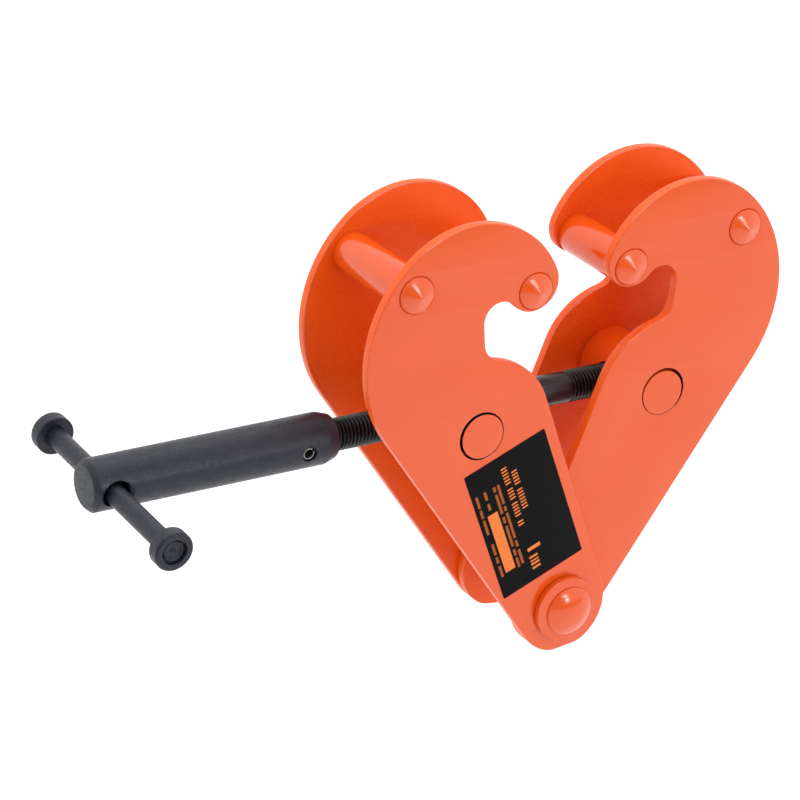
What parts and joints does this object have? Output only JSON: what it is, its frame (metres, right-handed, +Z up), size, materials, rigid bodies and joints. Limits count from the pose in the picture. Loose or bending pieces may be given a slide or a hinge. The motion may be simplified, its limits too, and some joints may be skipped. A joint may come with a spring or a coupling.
{
  "type": "beam clamp",
  "caption": "Screw-adjusted beam clamp with two curved twin-plate jaws on a load bar, opened and closed by a spindle with opposed threads and a sliding tommy bar handle.",
  "frame": {"origin": "centre of the load bar, half way between the plates", "axes": "+X along the spindle, away from the handle; +Y along the load bar, the labelled side at -Y; +Z up, towards the beam"},
  "size_m": [0.3631, 0.1238, 0.2329],
  "materials": {
    "orange_paint": "semi-gloss powder coat",
    "black_steel": "black oxide, semi-gloss",
    "spring_steel": "plain rolled steel",
    "label": "printed film",
    "label_print": "printed film"
  },
  "bodies": {
    "load_pin": {"load_bar": "orange_paint", "load_washer_front": "orange_paint", "load_washer_rear": "orange_paint"},
    "left_jaw": {"left_plate_front": "orange_paint", "left_plate_rear": "orange_paint", "left_outer_bar": "orange_paint", "left_inner_bar": "orange_paint", "rating_label": "label"},
    "right_jaw": {"right_plate_front": "orange_paint", "right_plate_rear": "orange_paint", "right_outer_bar": "orange_paint", "right_inner_bar": "orange_paint"},
    "left_nut": {"left_nut": "orange_paint"},
    "right_nut": {"right_nut": "orange_paint"},
    "end_stop": {"stop_washer": "spring_steel"},
    "spindle": {"spindle": "black_steel", "handle_sleeve": "black_steel", "roll_pin": "spring_steel", "retaining_ring": "black_steel"},
    "tommy_bar": {"tommy_bar": "black_steel", "tommy_cap_near": "black_steel", "tommy_cap_far": "black_steel"}
  },
  "joints": [
    {"name": "left_jaw_swing", "type": "hinge", "parent": "load_pin", "child": "left_jaw", "pos_m": [0, 0, 0], "axis": [0, 1, 0], "range_deg": [-24.2, 5.3]},
    {"name": "right_jaw_swing", "type": "hinge", "parent": "load_pin", "child": "right_jaw", "pos_m": [0, 0, 0], "axis": [0, 1, 0], "range_deg": [-5.3, 24.2]},
    {"name": "left_nut_pivot", "type": "hinge", "parent": "left_jaw", "child": "left_nut", "pos_m": [-0.0534, 0, 0.1013], "axis": [0, 1, 0], "range_deg": [-5.3, 24.2]},
    {"name": "right_nut_pivot", "type": "hinge", "parent": "right_jaw", "child": "right_nut", "pos_m": [0.0529, 0, 0.1013], "axis": [0, 1, 0], "range_deg": [-24.2, 5.3]},
    {"name": "end_stop_travel", "type": "slide", "parent": "left_nut", "child": "end_stop", "axis": [1, 0, 0], "range_m": [-0.0082, 0.0382]},
    {"name": "handle_turn", "type": "hinge", "parent": "end_stop", "child": "spindle", "pos_m": [0, 0, 0.1013], "axis": [1, 0, 0], "range_deg": [-6840, 1440]},
    {"name": "tommy_slide", "type": "slide", "parent": "spindle", "child": "tommy_bar", "axis": [0, 0.9983, 0.0576], "range_m": [-0.0361, 0.0469]}
  ],
  "couplings": [
    {"joint": "left_jaw_swing", "follows": "handle_turn", "ratio": 0.0035088},
    {"joint": "right_jaw_swing", "follows": "handle_turn", "ratio": -0.0035088},
    {"joint": "left_nut_pivot", "follows": "handle_turn", "ratio": -0.0035088},
    {"joint": "right_nut_pivot", "follows": "handle_turn", "ratio": 0.0035088},
    {"joint": "end_stop_travel", "follows": "handle_turn", "m_per_rad": -0.00031831}
  ]
}
